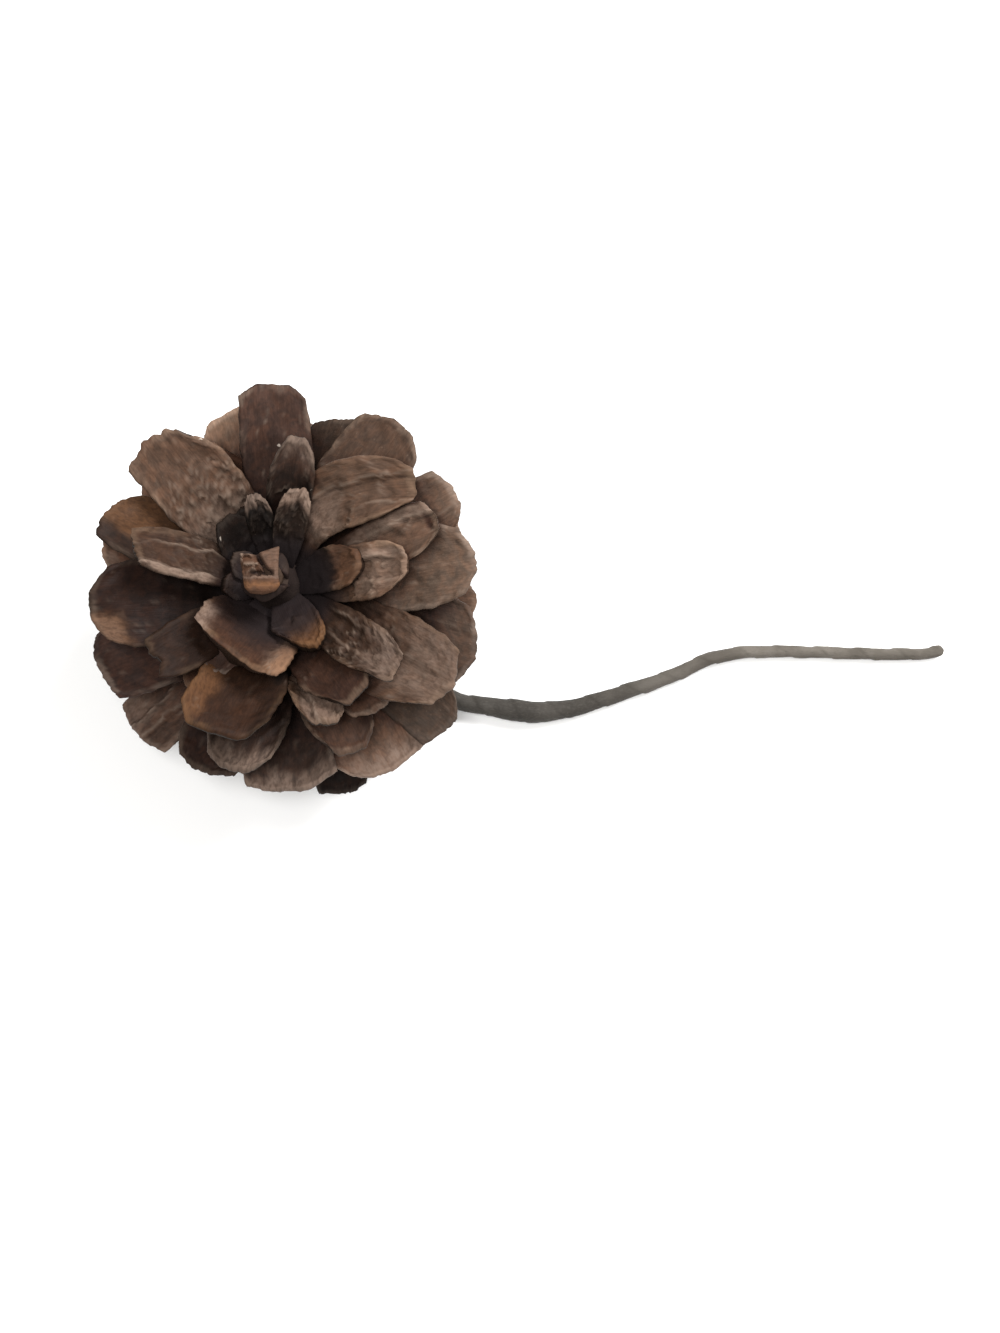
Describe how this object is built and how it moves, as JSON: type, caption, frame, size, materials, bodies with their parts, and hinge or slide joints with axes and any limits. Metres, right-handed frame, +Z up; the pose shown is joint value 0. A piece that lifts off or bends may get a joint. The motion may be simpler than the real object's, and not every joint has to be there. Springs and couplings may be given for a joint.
{
  "type": "pine cone on a wire stem",
  "caption": "Open woody pine cone that stands on its base, with a florist's wire looped round its stalk and wrapped in paper tape as a stem along the surface.",
  "frame": {"origin": "centre of the cut stalk's scar, where it stands on the surface, on the cone's axis", "axes": "+Z up along the cone towards its tip, +X along the surface towards the stem's far end, +Y completes the right-handed frame"},
  "size_m": [0.1346, 0.0612, 0.0438],
  "materials": {
    "cone": "dry weathered cone scales, reddish brown to greyish tan, dark at their roots",
    "stem_wire": "dull annealed wire",
    "stem_tape": "waxed crepe paper tape, grey-brown, wrapped on a slant"
  },
  "bodies": {
    "root": {"cone": "cone", "stem_wire": "stem_wire", "stem_tape": "stem_tape"}
  },
  "joints": []
}
